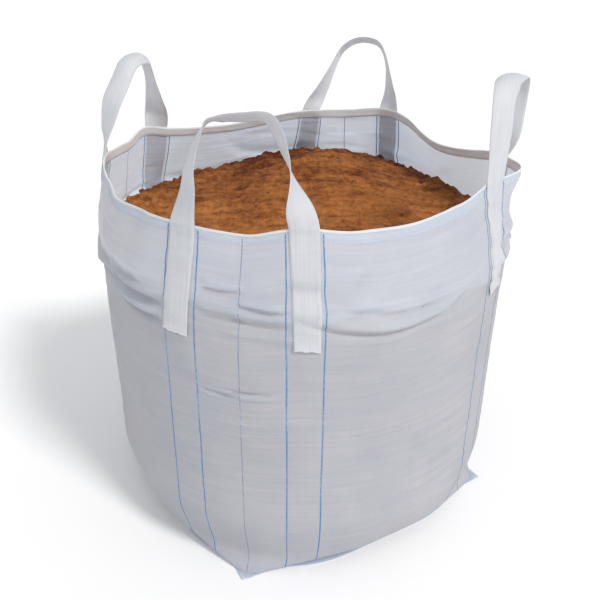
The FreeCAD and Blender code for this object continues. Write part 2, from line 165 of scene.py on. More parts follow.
# Folds: face, place of the lowest point and half length along the face, its height, how far the ends
# rise (left, right), width and depth. A positive depth stands proud of the wall.
FOLDS = [
    # front: two long hanging folds where the skirt meets the load, and a broad slanting one above
    (0, -0.060, 0.270, 0.768, 0.060, 0.075, 0.0100, -0.0060),
    (0, -0.060, 0.270, 0.786, 0.060, 0.075, 0.0150, 0.0065),
    (0, -0.020, 0.250, 0.812, 0.066, 0.030, 0.0110, -0.0050),
    (0, -0.010, 0.250, 0.834, 0.060, 0.040, 0.0160, 0.0055),
    (0, -0.240, 0.190, 0.845, 0.010, 0.100, 0.0200, 0.0075),
    (0, -0.260, 0.170, 0.885, 0.010, 0.095, 0.0210, -0.0060),
    # front, beside the right-hand loop
    (0, 0.385, 0.060, 0.900, 0.010, 0.020, 0.0120, 0.0080),
    (0, 0.375, 0.060, 0.868, 0.010, 0.016, 0.0080, -0.0070),
    (0, 0.360, 0.070, 0.835, 0.012, 0.020, 0.0120, 0.0060),
    # near corner: short creases across the cloth between the two legs
    (0, -0.400, 0.075, 0.850, 0.008, 0.010, 0.0085, 0.0050),
    (0, -0.395, 0.080, 0.834, 0.006, 0.010, 0.0060, -0.0050),
    (0, -0.400, 0.085, 0.818, 0.004, 0.006, 0.0085, 0.0045),
    (0, -0.400, 0.085, 0.796, 0.006, 0.004, 0.0060, -0.0035),
    (0, -0.400, 0.110, 0.770, 0.004, 0.006, 0.0080, 0.0030),
    (0, -0.430, 0.072, 0.610, 0.004, 0.005, 0.0035, -0.0040),
    (0, -0.430, 0.080, 0.602, 0.004, 0.005, 0.0080, 0.0034),
    (3, 0.405, 0.060, 0.884, 0.006, 0.004, 0.0080, 0.0050),
    (3, 0.400, 0.070, 0.866, 0.006, 0.004, 0.0060, -0.0050),
    (3, 0.400, 0.070, 0.826, 0.004, 0.004, 0.0080, 0.0040),
    (3, 0.410, 0.070, 0.800, 0.004, 0.004, 0.0060, -0.0030),
    (3, 0.400, 0.060, 0.597, 0.002, 0.004, 0.0035, -0.0030),
    # left: hanging folds that end at the leg
    (3, 0.110, 0.160, 0.750, 0.060, 0.012, 0.0090, -0.0070),
    (3, 0.100, 0.165, 0.768, 0.064, 0.012, 0.0120, 0.0075),
    (3, 0.120, 0.150, 0.796, 0.050, 0.010, 0.0080, -0.0060),
    (3, 0.110, 0.160, 0.816, 0.056, 0.012, 0.0120, 0.0065),
    (3, 0.050, 0.190, 0.872, 0.030, 0.010, 0.0220, 0.0070),
    (3, -0.150, 0.200, 0.800, 0.050, 0.030, 0.0110, 0.0060),
    (3, -0.150, 0.200, 0.782, 0.050, 0.030, 0.0090, -0.0060),
    # right and rear: the same kinds of fold, hung from their own legs
    (1, 0.020, 0.280, 0.760, 0.062, 0.050, 0.0100, -0.0060),
    (1, 0.020, 0.280, 0.780, 0.062, 0.050, 0.0150, 0.0065),
    (1, -0.060, 0.220, 0.830, 0.040, 0.070, 0.0180, 0.0070),
    (1, 0.130, 0.200, 0.880, 0.060, 0.010, 0.0200, -0.0060),
    (1, -0.400, 0.080, 0.845, 0.006, 0.008, 0.0080, 0.0050),
    (1, -0.400, 0.080, 0.827, 0.006, 0.008, 0.0060, -0.0040),
    (1, 0.410, 0.080, 0.800, 0.006, 0.008, 0.0080, 0.0045),
    (2, -0.040, 0.260, 0.752, 0.070, 0.060, 0.0100, -0.0060),
    (2, -0.040, 0.260, 0.772, 0.070, 0.060, 0.0150, 0.0065),
    (2, 0.060, 0.230, 0.822, 0.060, 0.040, 0.0160, 0.0070),
    (2, -0.150, 0.180, 0.872, 0.020, 0.070, 0.0220, 0.0060),
    (2, 0.400, 0.090, 0.835, 0.008, 0.006, 0.0080, 0.0050),
    (2, 0.400, 0.090, 0.818, 0.008, 0.006, 0.0060, -0.0040),
    (2, -0.410, 0.090, 0.620, 0.004, 0.006, 0.0040, -0.0035),
    (2, -0.410, 0.090, 0.611, 0.004, 0.006, 0.0080, 0.0030),
]

FOLD_STRENGTH = 1.7
# Random wrinkles, coarse to fine: cells round the bag, cells up each metre, depth on the filled wall, depth
# that the slack skirt adds, and seed. The finest are the slubs and pinches left from folding the bag flat.
SWELLS = (14, 3.2, 0.0040, 0.0030, 3)
BUCKLES = (40, 9.0, 0.0006, 0.0046, 5)
CREASES = (30, 56.0, 0.0014, 0.0010, 11)
PINCHES = (60, 105.0, 0.0018, 0.0, 13)
SLUBS = (120, 150.0, 0.0004, 0.0, 12)
CREASED_AREAS = (12, 4.0, 8)   # cells round, cells up each metre, seed
LEAST_CREASED = 0.3            # share of their depth that creases keep elsewhere
PINCH_FROM = 0.25              # only the crests above this become pinches
# the slack begins and ends, as shares of the rim's height, and the seam holds the cloth flat, in metres
SLACK_FROM, SLACK_TO = 0.62, 0.80
HELD_TO, FREE_FROM = 0.02, 0.16


def folds(around, height):
    """How far the folds and wrinkles move the cloth in or out."""
    def wrinkles(layer):
        across, high, depth, in_skirt, seed = layer
        return (depth + in_skirt * skirt) * drift(around, height, across, high, seed)

    moved = np.zeros(np.broadcast(around, height).shape)
    for face, middle, half_length, low, left_rise, right_rise, width, depth in FOLDS:
        away = ((around * 4 - face - 0.5) + 2) % 4 - 2
        along = (away * FACE - middle) / half_length
        line = low + np.where(along < 0, left_rise, right_rise) * along ** 2
        share = step(1.0, 0.45, np.abs(along))
        moved = moved + FOLD_STRENGTH * depth * share * bell(height - line, width)
    skirt = step(SLACK_FROM, SLACK_TO, height / RIM_HEIGHT)
    foot = step(HELD_TO, FREE_FROM, height)
    across, high, seed = CREASED_AREAS
    areas = step(-0.2, 0.6, drift(around, height, across, high, seed))
    creased = LEAST_CREASED + (1 - LEAST_CREASED) * areas
    across, high, depth, _, seed = PINCHES
    pinched = depth * np.maximum(drift(around, height, across, high, seed) - PINCH_FROM, 0)
    return (moved + wrinkles(BUCKLES)
            + foot * (wrinkles(SWELLS) + creased * (wrinkles(CREASES) + pinched) + wrinkles(SLUBS)))


def rim_shape(around, which):
    """One column of RIM_SHAPE, smooth all the way round: 1 out, 2 up, 3 along."""
    places = np.array([row[0] for row in RIM_SHAPE])
    values = np.array([row[which] for row in RIM_SHAPE])
    places = np.concatenate([places[-3:] - TUBE_GIRTH, places, places[:3] + TUBE_GIRTH])
    values = np.concatenate([values[-3:], values, values[:3]])
    return smooth(places, values, (np.asarray(around) % 1.0) * TUBE_GIRTH)


def rim_height(around):
    """Height of the rim: it sags between two loops, is held up at the straps and is a little uneven."""
    return RIM_HEIGHT + rim_shape(around, 2) + RIM_UNEVEN * drift(around, 0.0, 28, 1.0, 21)


def cloth(around, rise, out=0.0):
    """A point on the wall: around is 0 to 1 from the front left corner yarn, rise 0 to 1 up the cloth."""
    around, rise = np.broadcast_arrays(np.asarray(around, float), np.asarray(rise, float))
    height = rise * rim_height(around)
    skirt = step(SKIRT_START, 1.0, rise)
    slid = around + rim_shape(around, 3) * skirt / TUBE_GIRTH
    x, y, out_x, out_y = outline(slid, height)
    flare = FLARE_OUT * bell((around % 1.0) * TUBE_GIRTH - FLARE_PLACE, FLARE_HALF)
    flare = flare * step(FLARE_START, 1.0, rise)
    away = folds(around, height) + rim_shape(around, 1) * skirt + flare + out
    return np.stack([x + out_x * away, y + out_y * away, height], -1)


def hexed(code):
    """An sRGB hex colour as linear RGBA."""
    parts = [int(code[i:i + 2], 16) / 255 for i in (0, 2, 4)]
    return tuple(c / 12.92 if c <= 0.04045 else ((c + 0.055) / 1.055) ** 2.4 for c in parts) + (1.0,)


class Finish:
    """A material being built: add() makes one node with its settings and links."""

    def __init__(self, name):
        self.material = bpy.data.materials.new(name)
        self.material.use_nodes = True
        self.tree = self.material.node_tree
        self.tree.nodes.clear()
        self.shader = self.add("ShaderNodeBsdfPrincipled")
        self.add("ShaderNodeOutputMaterial", links={"Surface": self.shader.outputs[0]})

    def see_light_through(self, share, colour):
        """Thin cloth: this share of the light that reaches it passes through, scattered."""
        passed = self.add("ShaderNodeBsdfTranslucent", values={"Color": colour})
        mixed = self.add("ShaderNodeMixShader", values={0: share},
                         links={1: self.shader.outputs[0], 2: passed.outputs[0]})
        output = next(node for node in self.tree.nodes if node.type == "OUTPUT_MATERIAL")
        self.tree.links.new(mixed.outputs[0], output.inputs["Surface"])

    def add(self, kind, settings=None, values=None, links=None):
        made = self.tree.nodes.new(kind)
        for name, value in (settings or {}).items():
            setattr(made, name, value)
        for name, value in (values or {}).items():
            made.inputs[name].default_value = value
        for name, source in (links or {}).items():
            self.tree.links.new(source, made.inputs[name])
        return made

    def noise(self, place, scale, detail, roughness=0.5):
        """Cloudy values over a place in the solid, scale cells to the metre."""
        return self.add("ShaderNodeTexNoise", None, {
            "Scale": scale, "Detail": detail, "Roughness": roughness}, {"Vector": place}).outputs[0]

    def ramp(self, tone, low, high):
        """A blend of two colours, each given with the tone where it begins."""
        made = self.add("ShaderNodeValToRGB", links={"Fac": tone})
        for stop, (position, colour) in zip(made.color_ramp.elements, (low, high)):
            stop.position, stop.color = position, colour
        return made


def put_mesh(name, points, faces, finish, corner_uv=None):
    """A smooth-shaded mesh object, with an optional UV for each corner of each face."""
    mesh = bpy.data.meshes.new(name)
    mesh.from_pydata(np.asarray(points, float).reshape(-1, 3).tolist(), [], faces.tolist())
    if corner_uv is not None:
        layer = mesh.uv_layers.new(name="cloth")
        layer.data.foreach_set("uv", np.asarray(corner_uv, np.float32).ravel())
    mesh.polygons.foreach_set("use_smooth", [True] * len(mesh.polygons))
    mesh.materials.append(finish)
    mesh.update()
    made = bpy.data.objects.new(name, mesh)
    scene.collection.objects.link(made)
    return made


def grid(rows, columns, closed=False, flip=False):
    """Quads over points stored row by row, and the row and column of each corner.

    closed joins the last column to the first, whose corners there count as column `columns`.
    """
    r, c = np.meshgrid(np.arange(rows - 1), np.arange(columns if closed else columns - 1), indexing="ij")
    row = np.stack([r, r, r + 1, r + 1], -1).reshape(-1, 4)
    column = np.stack([c, c + 1, c + 1, c], -1).reshape(-1, 4)
    if flip:
        row, column = row[:, ::-1], column[:, ::-1]
    return row * columns + column % columns, row, column


def woven(name, colour, shade, tape, gloss, seen_through):
    """Flat-tape polypropylene cloth: white, faintly glossy tapes with slubby wefts that show as ribs.

    tape is the tape's width in metres. The plain weave is drawn at that real width as a soft bump, and
    the slubby wefts as ribs a few tapes wide, because single ones are too fine to show. seen_through is
    the share of light that the cloth lets pass: much where it is single, little where it is doubled.
    """
    made = Finish(name)
    place = made.add("ShaderNodeUVMap", {"uv_map": "cloth"}).outputs["UV"]
    solid = made.add("ShaderNodeTexCoord").outputs["Object"]
    split = made.add("ShaderNodeSeparateXYZ", links={"Vector": place})
    # wefts: noise drawn out some forty times longer round the bag than up it
    long_way = made.add("ShaderNodeMapping", {"vector_type": "POINT"}, {"Scale": (2.5, 1, 1)},
                        {"Vector": place}).outputs[0]
    wefts = made.add("ShaderNodeTexNoise", {"noise_dimensions": "2D"},
                     {"Scale": 1.0, "Detail": 3.0, "Roughness": 0.7},
                     {"Vector": made.add("ShaderNodeVectorMath", {"operation": "MULTIPLY"},
                                         {1: (1, 1 / (3.2 * tape), 1)}, {0: long_way}).outputs[0]})
    warps = made.add("ShaderNodeTexNoise", {"noise_dimensions": "2D"},
                     {"Scale": 1.0, "Detail": 2.0, "Roughness": 0.6},
                     {"Vector": made.add("ShaderNodeVectorMath", {"operation": "MULTIPLY"},
                                         {1: (1 / (4 * tape), 2.0, 1)}, {0: place}).outputs[0]})
    # the plain weave: tapes over and under, each tape's width in both directions
    over = made.add("ShaderNodeMath", {"operation": "SINE"}, None, {0: made.add(
        "ShaderNodeMath", {"operation": "MULTIPLY"}, {1: math.pi / tape},
        {0: split.outputs["X"]}).outputs[0]}).outputs[0]
    under = made.add("ShaderNodeMath", {"operation": "SINE"}, None, {0: made.add(
        "ShaderNodeMath", {"operation": "MULTIPLY"}, {1: math.pi / tape},
        {0: split.outputs["Y"]}).outputs[0]}).outputs[0]
    weave = made.add("ShaderNodeMath", {"operation": "MULTIPLY"}, None, {0: over, 1: under}).outputs[0]
    cloudy = made.noise(solid, 5.0, 4.0, 0.6)
    scuffs = made.noise(solid, 38.0, 5.0, 0.75)
    # colour: cooler and darker where the cloth is thin or rubbed
    tone = made.add("ShaderNodeMath", {"operation": "ADD"}, None, {
        0: made.add("ShaderNodeMath", {"operation": "MULTIPLY"}, {1: 0.55}, {0: cloudy}).outputs[0],
        1: made.add("ShaderNodeMath", {"operation": "MULTIPLY"}, {1: 0.45},
                    {0: wefts.outputs[0]}).outputs[0]}).outputs[0]
    ramp = made.ramp(tone, (0.32, shade), (0.62, colour))
    made.tree.links.new(ramp.outputs[0], made.shader.inputs["Base Color"])
    rough = made.add("ShaderNodeMapRange", None, {"From Min": 0.3, "From Max": 0.7, "To Min": gloss - 0.07,
                                                  "To Max": gloss + 0.10}, {"Value": scuffs})
    made.tree.links.new(rough.outputs[0], made.shader.inputs["Roughness"])
    height = made.add("ShaderNodeMath", {"operation": "ADD"}, None, {
        0: made.add("ShaderNodeMath", {"operation": "MULTIPLY"}, {1: 0.9},
                    {0: wefts.outputs[0]}).outputs[0],
        1: made.add("ShaderNodeMath", {"operation": "MULTIPLY"}, {1: 0.35},
                    {0: warps.outputs[0]}).outputs[0]}).outputs[0]
    height = made.add("ShaderNodeMath", {"operation": "ADD"}, None, {
        0: height, 1: made.add("ShaderNodeMath", {"operation": "MULTIPLY"}, {1: 0.10},
                               {0: weave}).outputs[0]}).outputs[0]
    bump = made.add("ShaderNodeBump", None, {"Strength": 0.9, "Distance": 0.0016}, {"Height": height})
    made.tree.links.new(bump.outputs[0], made.shader.inputs["Normal"])
    made.shader.inputs["IOR"].default_value = 1.49
    made.shader.inputs["Sheen Weight"].default_value = 0.15
    made.shader.inputs["Sheen Roughness"].default_value = 0.4
    made.see_light_through(seen_through, colour)
    return made.material


woven_cloth = woven("woven polypropylene, white flat tape", hexed("E6EDF6"), hexed("D3DCEA"), 0.003, 0.50,
                    0.46)

WALL_COLUMNS, WALL_ROWS = 440, 214
around_grid, rise_grid = np.meshgrid(np.arange(WALL_COLUMNS) / WALL_COLUMNS,
                                     np.linspace(CLOTH / RIM_HEIGHT, 1, WALL_ROWS))
quads, row, column = grid(WALL_ROWS, WALL_COLUMNS, closed=True)
wall_uv = np.stack([column / WALL_COLUMNS * TUBE_GIRTH, row / (WALL_ROWS - 1) * RIM_HEIGHT], -1)
wall = put_mesh("woven_wall", cloth(around_grid, rise_grid), quads, woven_cloth, wall_uv)
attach(wall, "bag")
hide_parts("body_fabric")


# ---- hem -----------------------------------------------------------------------------------------------
# The tube's top edge is folded twice to the inside over itself and lockstitched, which leaves a rolled
# bright edge outside and a 25 mm band inside.
HEM_INSIDE, HEM_OUTSIDE = 0.026, 0.0045
HEM_PUCKER = 0.35              # share by which the sewing draws it in and lets it out
# the fold seen end on: out from the wall's middle, and up from the rim
HEM_PROFILE = [(0.0003, -HEM_OUTSIDE), (0.0011, -HEM_OUTSIDE + 0.0006), (0.0017, -0.0022),
               (0.0020, 0.0000), (0.0014, 0.0016), (-0.0002, 0.0022), (-0.0022, 0.0016), (-0.0034, -0.0008),
               (-0.0032, -0.0060), (-0.0028, -0.0150), (-0.0030, -HEM_INSIDE + 0.0012),
               (-0.0018, -HEM_INSIDE), (-0.0006, -HEM_INSIDE + 0.0008)]

HEM_COLUMNS = 900
hem_around = np.arange(HEM_COLUMNS) / HEM_COLUMNS
hem_rows = []
for out, up in HEM_PROFILE:
    rise = 1 + up / RIM_HEIGHT
    pucker = 1 + HEM_PUCKER * drift(hem_around, 0.0, 110, 1.0, 31)
    point = cloth(hem_around, np.minimum(rise, 1.0), out * pucker)
    point[:, 2] += max(up, 0.0)
    hem_rows.append(point)
hem_faces, hem_row, hem_column = grid(len(HEM_PROFILE), HEM_COLUMNS, closed=True)
hem_uv = np.stack([hem_column / HEM_COLUMNS * TUBE_GIRTH,
                   np.array([up for out, up in HEM_PROFILE] + [0])[hem_row]], -1)
hem_cloth = woven("woven polypropylene, folded hem", hexed("F0F1F0"), hexed("DCDEE1"), 0.003, 0.48, 0.15)
hem = put_mesh("folded_hem", np.array(hem_rows), hem_faces, hem_cloth, hem_uv)
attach(hem, "bag")
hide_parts("top_hem")


# ---- marker yarns --------------------------------------------------------------------------------------
# Blue tapes woven in on both sides of each reinforced band, and one thin grey-blue tape at each corner.
# They show the sewers where the loops go.
MARKER_FROM_BAND = 0.044
MARKER_WIDTH, CORNER_WIDTH = 0.0034, 0.0022
YARN_PROUD = 0.0007
INSIDE_FROM, INSIDE_TO = 0.78, 0.973        # shares of the height between the sand and the hem


def yarn(around, width, seed, inside):
    """Points of one tape that runs up the wall, a little wavy as woven: its outer face all the way up, or
    its inner face where the mouth stands clear of the sand."""
    rise = np.linspace(*((INSIDE_FROM, INSIDE_TO, 60) if inside else (0.003, 0.992, 260)))
    wander = 0.0011 * drift(np.full(len(rise), 0.37), rise, 4, 9.0, seed)
    columns = []
    for side in ((0.5, 0.0, -0.5) if inside else (-0.5, 0.0, 0.5)):
        place = around + (side * width + wander) / TUBE_GIRTH
        proud = YARN_PROUD * (1.0 if side == 0 else 0.35)
        columns.append(cloth(place, rise, -proud if inside else proud))
    return np.stack(columns, 1)


def yarns(name, arounds, width, finish):
    """All the tapes of one colour as one mesh."""
    points, faces, uv, start = [], [], [], 0
    for number, (around, inside) in enumerate((a, b) for a in arounds for b in (False, True)):
        strip = yarn(around, width, 50 + number // 2, inside)
        quad, r, c = grid(strip.shape[0], strip.shape[1])
        points.append(strip.reshape(-1, 3))
        faces.append(quad + start)
        uv.append(np.stack([c * width / 2, r / strip.shape[0] * RIM_HEIGHT], -1))
        start += strip.shape[0] * strip.shape[1]
    return put_mesh(name, np.concatenate(points), np.concatenate(faces), finish, np.concatenate(uv))


def tape(name, colour, worn):
    """A coloured polypropylene tape: it fades where weft tapes cross it and where it is rubbed."""
    made = Finish(name)
    place = made.add("ShaderNodeUVMap", {"uv_map": "cloth"}).outputs["UV"]
    solid = made.add("ShaderNodeTexCoord").outputs["Object"]
    crossed = made.add("ShaderNodeTexNoise", {"noise_dimensions": "2D"},
                       {"Scale": 90.0, "Detail": 2.0, "Roughness": 0.6}, {"Vector": place})
    faded = made.add("ShaderNodeTexNoise", None, {"Scale": 6.0, "Detail": 3.0}, {"Vector": solid})
    share = made.add("ShaderNodeMath", {"operation": "MULTIPLY"}, None,
                     {0: crossed.outputs[0], 1: faded.outputs[0]})
    ramp = made.ramp(share.outputs[0], (0.18, colour), (0.42, worn))
    made.tree.links.new(ramp.outputs[0], made.shader.inputs["Base Color"])
    made.shader.inputs["Roughness"].default_value = 0.45
    made.shader.inputs["IOR"].default_value = 1.49
    return made.material


band_places = [corner / 4 + sign * BAND_FROM_CORNER / TUBE_GIRTH for corner in range(4) for sign in (-1, 1)]
marker_places = [place + sign * MARKER_FROM_BAND / TUBE_GIRTH for place in band_places for sign in (-1, 1)]
blue_tape = tape("blue polypropylene tape", hexed("4E7FB6"), hexed("8FA9CB"))
markers = yarns("blue_marker_yarns", marker_places, MARKER_WIDTH, blue_tape)
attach(markers, "bag")
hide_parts("marker_stripes")

grey_tape = tape("grey-blue polypropylene tape", hexed("7E8CA6"), hexed("B4BDCE"))
corner_yarns = yarns("corner_yarns", [0.0, 0.25, 0.5, 0.75], CORNER_WIDTH, grey_tape)
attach(corner_yarns, "bag")
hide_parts("corner_stripes")


# ---- base cloth ----------------------------------------------------------------------------------------
# The floor of the bag is a square of the same cloth, chain stitched to the tube round its edge. Its
# square corners stay outside the round corners of the seam as four small ears.
BASE_HALF = (LEVEL_GIRTHS[0] + (8 - 2 * math.pi) * LEVEL_RADII[0]) / 8 + CLOTH
BASE_CELLS = 130
line = np.linspace(-BASE_HALF, BASE_HALF, BASE_CELLS)
# cells crowd towards the edges, where the ears curl
line = BASE_HALF * np.sign(line) * (1 - (1 - np.abs(line) / BASE_HALF) ** 1.6)
base_x, base_y = np.meshgrid(line, line)
# the ears lift outside the seam's round corners and wave as they go
EAR_FROM, EAR_FREE = 0.560, 0.600
BASE_UP, EAR_LIFT, EAR_WAVE = 0.0012, 0.0025, 0.0060
ear = step(EAR_FROM, EAR_FREE, np.hypot(base_x, base_y))
wave = 0.5 + 0.5 * np.sin(base_x * 190 + base_y * 61)
base_z = BASE_UP + ear * (EAR_LIFT + EAR_WAVE * wave)
base_points = np.stack([base_x, base_y, base_z], -1)
base_quads, r, c = grid(BASE_CELLS, BASE_CELLS)
base_cloth = put_mesh("base_cloth", base_points, base_quads, woven_cloth,
                      np.stack([line[c] + BASE_HALF, line[r] + BASE_HALF], -1))
thick = base_cloth.modifiers.new("thickness", "SOLIDIFY")
thick.thickness, thick.offset = 0.0011, -1
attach(base_cloth, "bag")
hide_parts("base_panel", "base_corner_ears")


# ---- lift loops ----------------------------------------------------------------------------------------
# Each loop is one length of 72 mm polypropylene webbing. Its two ends are sewn flat on the faces beside
# a corner, and what is between stands over the corner with an eighth of a turn in each leg.
WEBBING_WIDTH, WEBBING_THICK = 0.072, 0.0025
LEG_LENGTH = 0.272
ON_WALL = 0.0006                # webbing to wall
LEG_ROWS, ARCH_ROWS, EDGE_COLUMNS = 70, 170, 15
END_LIFT = 0.006                # a leg's raw end stands a little off the wall
# Each arch in its own plane, foot to foot: place along the line between its feet (share of half that
# line), height above the rim and distance away from the bag. Then, in degrees, how far the outer edge of
# the webbing is raised and how far it is swung towards the second foot in each leg; the share of the arch
# over which each leg turns; and how tightly the top is curled lengthwise, per metre.
LOOPS = {
    "front_left": dict(corner=0, raised=25, swung=(35, 35), turned=(0.45, 0.58), curled=0, arch=[
        (-0.90, 0.071, -0.008), (-0.85, 0.126, -0.013), (-0.73, 0.181, -0.019), (-0.56, 0.219, -0.022),
        (-0.34, 0.231, -0.023), (0.02, 0.236, -0.024), (0.30, 0.236, -0.024), (0.46, 0.226, -0.023),
        (0.59, 0.195, -0.019), (0.66, 0.168, -0.016), (0.73, 0.138, -0.014), (0.82, 0.094, -0.009),
        (0.93, 0.041, -0.003)]),
    "front_right": dict(corner=1, raised=-4, swung=(40, 40), turned=(0.70, 0.45), curled=28, arch=[
        (-0.93, 0.060, 0.000), (-0.86, 0.130, 0.000), (-0.72, 0.190, 0.000), (-0.48, 0.224, 0.001),
        (-0.16, 0.236, 0.000), (0.16, 0.236, 0.004), (0.48, 0.222, 0.010), (0.72, 0.188, 0.014),
        (0.86, 0.130, 0.014), (0.93, 0.060, 0.008)]),
    "rear_right": dict(corner=2, raised=-24, swung=(0, 0), turned=(0.50, 0.50), curled=6, arch=[
        (-0.98, 0.050, 0.025), (-0.93, 0.090, 0.045), (-0.83, 0.150, 0.080), (-0.66, 0.194, 0.104),
        (-0.38, 0.210, 0.115), (-0.05, 0.210, 0.116), (0.20, 0.196, 0.108), (0.40, 0.168, 0.092),
        (0.67, 0.086, 0.048), (0.85, 0.040, 0.024)]),
    "rear_left": dict(corner=3, raised=12, swung=(-38, -8), turned=(0.50, 0.58), curled=20, arch=[
        (-1.00, 0.052, -0.005), (-0.95, 0.090, -0.008), (-0.82, 0.151, -0.015), (-0.64, 0.210, -0.021),
        (-0.44, 0.232, -0.023), (-0.10, 0.238, -0.024), (0.14, 0.231, -0.023), (0.30, 0.215, -0.022),
        (0.47, 0.186, -0.019), (0.72, 0.140, -0.014), (0.87, 0.088, -0.009), (0.97, 0.050, -0.006)]),
}

# the webbing seen end on: place across it, towards its corner, and depth through its thickness
side = np.linspace(-1, 1, EDGE_COLUMNS)
half_thick = 0.5 * WEBBING_THICK * (1 - 0.6 * np.abs(side) ** 12)
RING_PLACE = np.concatenate([side, side[::-1]]) * WEBBING_WIDTH / 2
RING_DEPTH = np.concatenate([half_thick, -half_thick[::-1]])


def unit(v):
    return v / np.maximum(np.linalg.norm(v, axis=-1, keepdims=True), 1e-9)


def through(points, count):
    """count evenly spaced points on a smooth curve, from the second given point to the last but one."""
    p = np.asarray(points, float)
    t = np.linspace(1, len(p) - 2, 40 * len(p))
    i = np.minimum(t.astype(int), len(p) - 3)
    f = (t - i)[:, None]
    a, b, c, d = p[i - 1], p[i], p[i + 1], p[i + 2]
    curve = (b + f * (c - a) / 2 + f ** 2 * (2 * a - 5 * b + 4 * c - d) / 2
             + f ** 3 * (3 * b - a - 3 * c + d) / 2)
    run = np.concatenate([[0], np.cumsum(np.linalg.norm(np.diff(curve, axis=0), axis=1))])
    even = np.linspace(0, run[-1], count)
    return np.stack([np.interp(even, run, curve[:, k]) for k in range(3)], -1)


# each leg's raw end: how far it is set off towards its corner, and its share of the full width
LEG_ENDS = {(0, -1): (-0.008, 0.98), (0, 1): (-0.004, 0.85), (1, -1): (0.002, 0.92), (1, 1): (-0.004, 0.95),
            (2, -1): (0.003, 0.93), (2, 1): (-0.003, 0.96), (3, -1): (0.002, 0.90), (3, 1): (0.004, 0.96)}


def sewn_leg(corner, sign, seed):
    """Rings of webbing from its raw end up to the rim; sign -1 is the leg before the corner."""
    around = corner / 4 + sign * BAND_FROM_CORNER / TUBE_GIRTH
    low = 1 - (LEG_LENGTH + 0.007 * math.sin(3.1 * seed + sign)) / RIM_HEIGHT
    rise = (low + (1 - low) * np.linspace(0, 1, LEG_ROWS) ** 0.9)[:, None]
    above_end = (rise - low) * RIM_HEIGHT
    share = RING_PLACE[None, :] / WEBBING_WIDTH        # -0.5 to 0.5, towards the corner
    set_off, narrowed = LEG_ENDS[corner, sign]
    down = 1 - np.linspace(0, 1, LEG_ROWS)[:, None]
    place = RING_PLACE[None, :] * (1 + (narrowed - 1) * down ** 1.3) + set_off * down
    frayed = 0.0022 * drift(share / 2 + 0.5, 0.0, 23, 1.0, 70 + 2 * seed + sign)
    slant = 0.006 * math.sin(2.3 * seed + 1.1 * sign) * share
    ragged = (frayed + slant) / RIM_HEIGHT * bell(above_end, 0.012)
    lift = END_LIFT * bell(above_end, 0.015) * (0.4 + 0.6 * np.abs(math.sin(seed + sign) + 2 * share) / 1.6)
    buckled = 0.0009 * drift(share * 0.3 + 0.5, rise, 5, 22.0, 75 + 2 * seed + sign)
    over_hem = 0.0022 * step(0.012, 0.0, (1 - rise) * RIM_HEIGHT)
    return cloth(around - sign * place / TUBE_GIRTH, rise + ragged,
                 ON_WALL + WEBBING_THICK / 2 + RING_DEPTH[None, :] + lift + buckled + over_hem)


def free_arch(first, second, spec, seed):
    """Rings of webbing from the top ring of one leg over to the top ring of the other."""
    feet = [first[-1].mean(0), second[-1].mean(0)]
    below = [first[-16].mean(0), second[-16].mean(0)]
    middle = (feet[0] + feet[1]) / 2
    chord = (feet[1] - feet[0]) / 2
    up = np.array([0, 0, 1.0])
    away = unit(np.cross(chord, up))
    points = [below[0], feet[0]]
    points += [middle + chord * along + up * height + away * out for along, height, out in spec["arch"]]
    points += [feet[1], below[1]]
    centre = through(points, ARCH_ROWS)
    tangent = unit(np.gradient(centre, axis=0))
    share = np.linspace(0, 1, ARCH_ROWS)[:, None]
    last = EDGE_COLUMNS - 1
    at_feet = [unit(leg[-1][last] - leg[-1][0]) for leg in (first, second)]
    raised = math.radians(spec["raised"])
    swung = np.radians(np.interp(share, (0.25, 0.75), spec["swung"]))
    at_top = away * np.cos(swung) + unit(chord) * np.sin(swung)
    at_top = at_top * math.cos(raised) + up * math.sin(raised)
    rising, falling = spec["turned"]
    turn = ((1 - np.clip(1 - share / rising, 0, 1) ** 3)
            * (1 - np.clip(1 - (1 - share) / falling, 0, 1) ** 3))
    across = np.where(share < 0.5, at_feet[0], at_feet[1]) * (1 - turn) + at_top * turn
    across = unit(across - tangent * (across * tangent).sum(1, keepdims=True))
    face = np.cross(across, tangent)
    curl = 1.5 + spec["curled"] * np.sin(math.pi * share) ** 4
    place = np.sin(RING_PLACE[None, :] * curl) / curl
    cupped = (np.cos(RING_PLACE[None, :] * curl) - 1) / curl
    ripple = 0.0011 * drift(share * 0.9, place * 8, 11, 3.0, 90 + seed)
    depth = RING_DEPTH[None, :] + cupped + ripple * np.sin(math.pi * share)
    arch = centre[:, None] + across[:, None] * place[..., None] + face[:, None] * depth[..., None]
    # near each foot the webbing keeps the bend that the wall gives it
    for row, leg, fade in ((0, first, step(0.20, 0.0, share)), (-1, second, step(0.80, 1.0, share))):
        arch = arch + (leg[-1] - arch[row])[None] * fade[..., None]
    return arch


